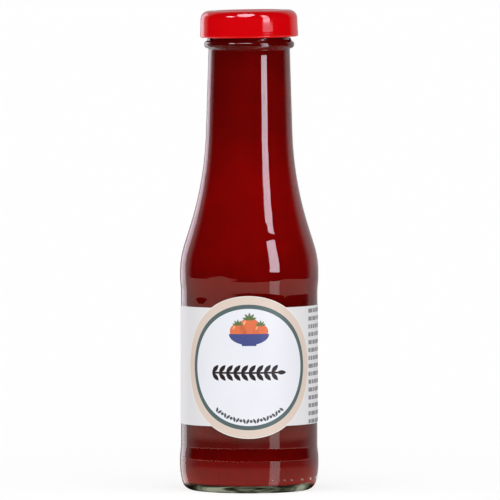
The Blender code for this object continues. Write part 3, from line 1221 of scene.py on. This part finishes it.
def lane(tree, place, turn, half_width, glow):
    """A bright lane that runs out from the place behind the glass where its mirror image starts."""
    turn = radians(turn)
    focus = PANEL_RADIUS * cos(turn) / 2
    start = (
        PANEL_RADIUS * sin(turn) - focus * sin(2 * turn),
        -PANEL_RADIUS * cos(turn) + focus * cos(2 * turn),
        0,
    )
    from_start = add_node(
        tree,
        "VectorMath",
        settings={"operation": "SUBTRACT"},
        inputs={1: start},
        links={0: place.outputs["Object"]},
    )
    round_about = add_node(
        tree,
        "TexGradient",
        settings={"gradient_type": "RADIAL"},
        links={"Vector": from_start.outputs[0]},
    )
    middle = (turn / pi + 0.25) % 1
    low, high = middle - half_width, middle + half_width
    ramp = add_node(tree, "ValToRGB", links={"Fac": round_about.outputs["Fac"]})
    stops = ((low - LANE_EDGE, 0.0), (low, glow), (high, glow), (high + LANE_EDGE, 0.0))
    paint_ramp(ramp.color_ramp, stops)
    return ramp.outputs["Color"]


def lit_table():
    """A glowing top for reflections: warm and dim in the bottle's shade, paler behind, two lanes."""
    inputs = {**UNLIT, "Emission Strength": 1.0}
    material, tree, shader = new_material("Lit table top", inputs)
    place = add_node(tree, "TexCoord")
    lanes = add_node(
        tree,
        "VectorMath",
        links={0: lane(tree, place, *WINDOW_LANE), 1: lane(tree, place, *RIM_LANE)},
    )
    away = add_node(
        tree,
        "VectorMath",
        settings={"operation": "LENGTH"},
        links={0: place.outputs["Object"]},
    )
    fade = add_node(tree, "ValToRGB", links={"Fac": away.outputs["Value"]})
    stops = [(at, tuple(value * share for share in TABLE_TINT)) for at, value in TABLE_FADE]
    paint_ramp(fade.color_ramp, stops)
    heading = add_node(
        tree,
        "VectorMath",
        settings={"operation": "NORMALIZE"},
        links={0: place.outputs["Object"]},
    )
    way = add_node(tree, "SeparateXYZ", links={0: heading.outputs[0]})
    behind = add_node(
        tree,
        "MapRange",
        inputs={"From Max": TABLE_BEHIND_FROM},
        links={"Value": way.outputs["Y"]},
    )
    ground = add_node(
        tree,
        "Mix",
        settings={"data_type": "RGBA"},
        inputs={"B": (*TABLE_BEHIND, 1)},
        links={"Factor": behind.outputs[0], "A": fade.outputs["Color"]},
    )
    lit = add_node(
        tree,
        "VectorMath",
        links={0: lanes.outputs[0], 1: find_socket(ground.outputs, "Result")},
    )
    start, end = CONTACT_SHADE
    contact = add_node(
        tree,
        "MapRange",
        inputs={"From Min": start, "From Max": end},
        links={"Value": away.outputs["Value"]},
    )
    glow = add_node(
        tree,
        "VectorMath",
        settings={"operation": "MULTIPLY"},
        links={0: lit.outputs[0], 1: contact.outputs[0]},
    )
    tree.links.new(glow.outputs[0], shader.inputs["Emission Color"])
    return material


def upright_card(name, azimuth, distance, middle, size, glow):
    """An upright card beside the bottle, seen in reflections alone; it hides a lamp behind it."""
    select_none()
    turn = radians(azimuth)
    bpy.ops.mesh.primitive_plane_add(size=1.0, rotation=(pi / 2, 0, 0))
    sheet = name_piece(name)
    settle(sheet)
    sheet.scale = (size[0], 1, size[1])
    sheet.rotation_euler.z = turn
    sheet.location = (sin(turn) * distance, -cos(turn) * distance, middle)
    settle(sheet)
    inputs = {**UNLIT, "Emission Color": linear(LAMP_COLOUR), "Emission Strength": glow}
    sheet.data.materials.append(new_material(name, inputs)[0])
    only_mirrored(sheet)


def make_reflections():
    """The table round the bottle, two cards that dim or hide the window by the cap, and a pale edge."""
    lit = lit_table()
    mirrored_table("table_front", (TABLE_LEFT, TABLE_FRONT), (TABLE_RIGHT, TABLE_FAR), lit)
    mirrored_table("table_side", (TABLE_END, TABLE_CORNER), (TABLE_LEFT, TABLE_FAR), lit)
    for name, middle, height, glow in WINDOW_CARDS:
        upright_card(name, WINDOW_TURN, CARD_DISTANCE, middle, (CARD_WIDTH, height), glow)
    upright_card(
        "rim_card",
        azimuth=-145,
        distance=1.0,
        middle=0.345,
        size=(0.42, 0.69),
        glow=2.2,
    )


def make_floor():
    """A pale matt table, evenly lit: nearly white, a faint shadow, and left out of reflections."""
    select_none()
    bpy.ops.mesh.primitive_plane_add(size=FLOOR_SIZE)
    floor = name_piece("floor")
    inputs = {
        "Base Color": (FLOOR_GREY, FLOOR_GREY, FLOOR_GREY, 1),
        "Roughness": 0.8,
        "Specular IOR Level": 0.0,
        "Emission Color": (1, 1, 1, 1),
        "Emission Strength": FLOOR_GLOW,
    }
    floor.data.materials.append(new_material("Pale table", inputs)[0])
    floor.visible_glossy = False


def make_camera():
    """A long lens from in front and a little above, as in the photograph."""
    data = bpy.data.cameras.new("Camera")
    data.sensor_width = SENSOR
    data.lens = LENS
    data.clip_end = CLIP_END
    camera = bpy.data.objects.new("Camera", data)
    bpy.context.scene.collection.objects.link(camera)
    camera.location = (CAMERA_ASIDE, -CAMERA_DISTANCE, CAMERA_HEIGHT)
    aim = Vector((CAMERA_ASIDE, 0, AIM_HEIGHT))
    camera.rotation_euler = (aim - camera.location).to_track_quat("-Z", "Y").to_euler()
    bpy.context.scene.camera = camera


def stand_for(piece, node):
    """Puts the piece in a CAD node's place."""
    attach(piece, "root")
    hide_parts(node)


def shade(piece):
    """Smooth shading that stays flat on flat faces and sharp at edges."""
    select_only([piece])
    bpy.ops.object.shade_smooth_by_angle(angle=SHARP_ANGLE)
    even = piece.modifiers.new("Even shading", "WEIGHTED_NORMAL")
    even.keep_sharp = True
    apply_modifiers(piece)


def main():
    make_camera()
    make_world()
    make_floor()
    make_reflections()
    bpy.context.scene.view_settings.view_transform = "Standard"
    glass = make_glass()
    fuse(glass, [make_lug(i) for i in range(LUGS)] + [make_mould_dot(t) for t in MOULD_DOT_TURNS])
    glass.data.materials.clear()
    glass.data.materials.append(flint_glass())
    shade(glass)
    stand_for(glass, "bottle")
    filling = make_filling()
    shade(filling)
    stand_for(filling, "ketchup")
    cap = make_cap()
    cap.data.materials.append(red_lacquer())
    shade(cap)
    stand_for(cap, "cap")
    papers = {
        "margin": paper("Uncoated paper edge", "#F4EFEA"),
        "tan": paper("Tan print on coated paper", "#E2D1C4"),
        "teal": paper("Grey-green print on coated paper", "#50696A"),
        "disc": paper("Cool white coated paper", "#EEF1F8"),
        "band": paper("Off-white coated paper", "#E8E8EA"),
    }
    label = make_label(papers)
    shade(label)
    stand_for(label, "label")
    for film in make_prints():
        stand_for(film, "label")
    make_lamps()


def make_prints():
    """The label's films of ink: generic motifs and plain dashes."""
    inks = {
        "black": paper("Black ink on coated paper", "#141416"),
        "slate": paper("Slate ink on coated paper", "#4C555A"),
        "grey": paper("Grey ink on coated paper", "#8C8E93"),
        "orange": paper("Orange ink on coated paper", "#E9733F"),
        "pale orange": paper("Pale orange ink on coated paper", "#F8B98C"),
        "green": paper("Green ink on coated paper", "#5F7D45"),
        "blue": paper("Blue ink on coated paper", "#3A4A90"),
    }
    prints = print_fruit_bowl(inks)
    prints.append(print_sprig(inks))
    prints.append(print_arc(inks))
    prints.append(print_rows("print_rows_right", *RIGHT_ROWS, seed=5, inks=inks))
    prints.append(print_rows("print_rows_left", *LEFT_ROWS, seed=8, inks=inks))
    return prints


main()
